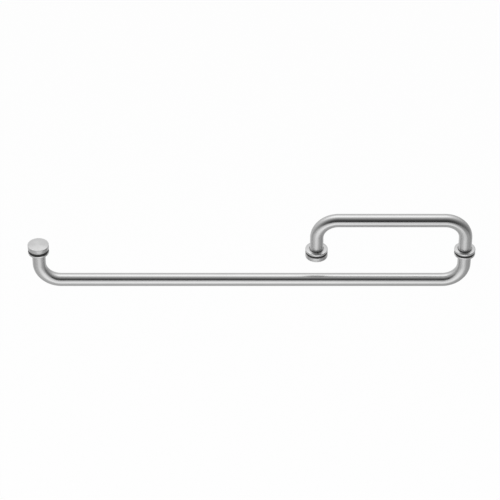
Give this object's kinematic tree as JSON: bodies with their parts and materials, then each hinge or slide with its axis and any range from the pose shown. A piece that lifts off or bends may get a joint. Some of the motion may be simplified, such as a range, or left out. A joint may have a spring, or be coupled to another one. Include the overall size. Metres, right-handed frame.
{
  "type": "shower door towel bar and pull handle set",
  "caption": "Satin steel towel bar and shorter pull handle, two bent round tubes back to back that clamp a glass shower door and share one glass hole.",
  "frame": {"origin": "midway between the two outer glass holes, on the plane where the two sides' gaskets meet, which is the mid-plane of the closed clamp", "axes": "+X along the bars from the capped left hole to the shared right hole, +Z through the glass towards the pull handle's side, +Y away from the viewer"},
  "size_m": [0.6398, 0.032, 0.127],
  "materials": {
    "satin_tube": "satin stainless with a fine grain round the tube",
    "turned_steel": "satin stainless with a fine turned grain round the centre",
    "insert_steel": "plain turned steel",
    "stud_steel": "plain machine-thread steel",
    "black_rubber": "matt moulded rubber",
    "clear_plastic": "milky clear moulded plastic"
  },
  "bodies": {
    "root": {"towel_bar_tube": "satin_tube", "pull_handle_tube": "satin_tube", "towel_left_washer": "turned_steel", "towel_left_gasket": "black_rubber", "towel_left_insert": "insert_steel", "towel_right_washer": "turned_steel", "towel_right_gasket": "black_rubber", "towel_right_insert": "insert_steel", "pull_left_washer": "turned_steel", "pull_left_gasket": "black_rubber", "pull_left_insert": "insert_steel", "pull_right_washer": "turned_steel", "pull_right_gasket": "black_rubber", "pull_right_insert": "insert_steel", "left_end_cap": "turned_steel", "left_cap_gasket": "black_rubber", "middle_end_cap": "turned_steel", "middle_cap_gasket": "black_rubber", "left_stud": "stud_steel", "left_hole_sleeve": "clear_plastic", "middle_stud": "stud_steel", "middle_hole_sleeve": "clear_plastic", "right_stud": "stud_steel", "right_hole_sleeve": "clear_plastic", "pull_grub_screw": "stud_steel"}
  },
  "joints": []
}
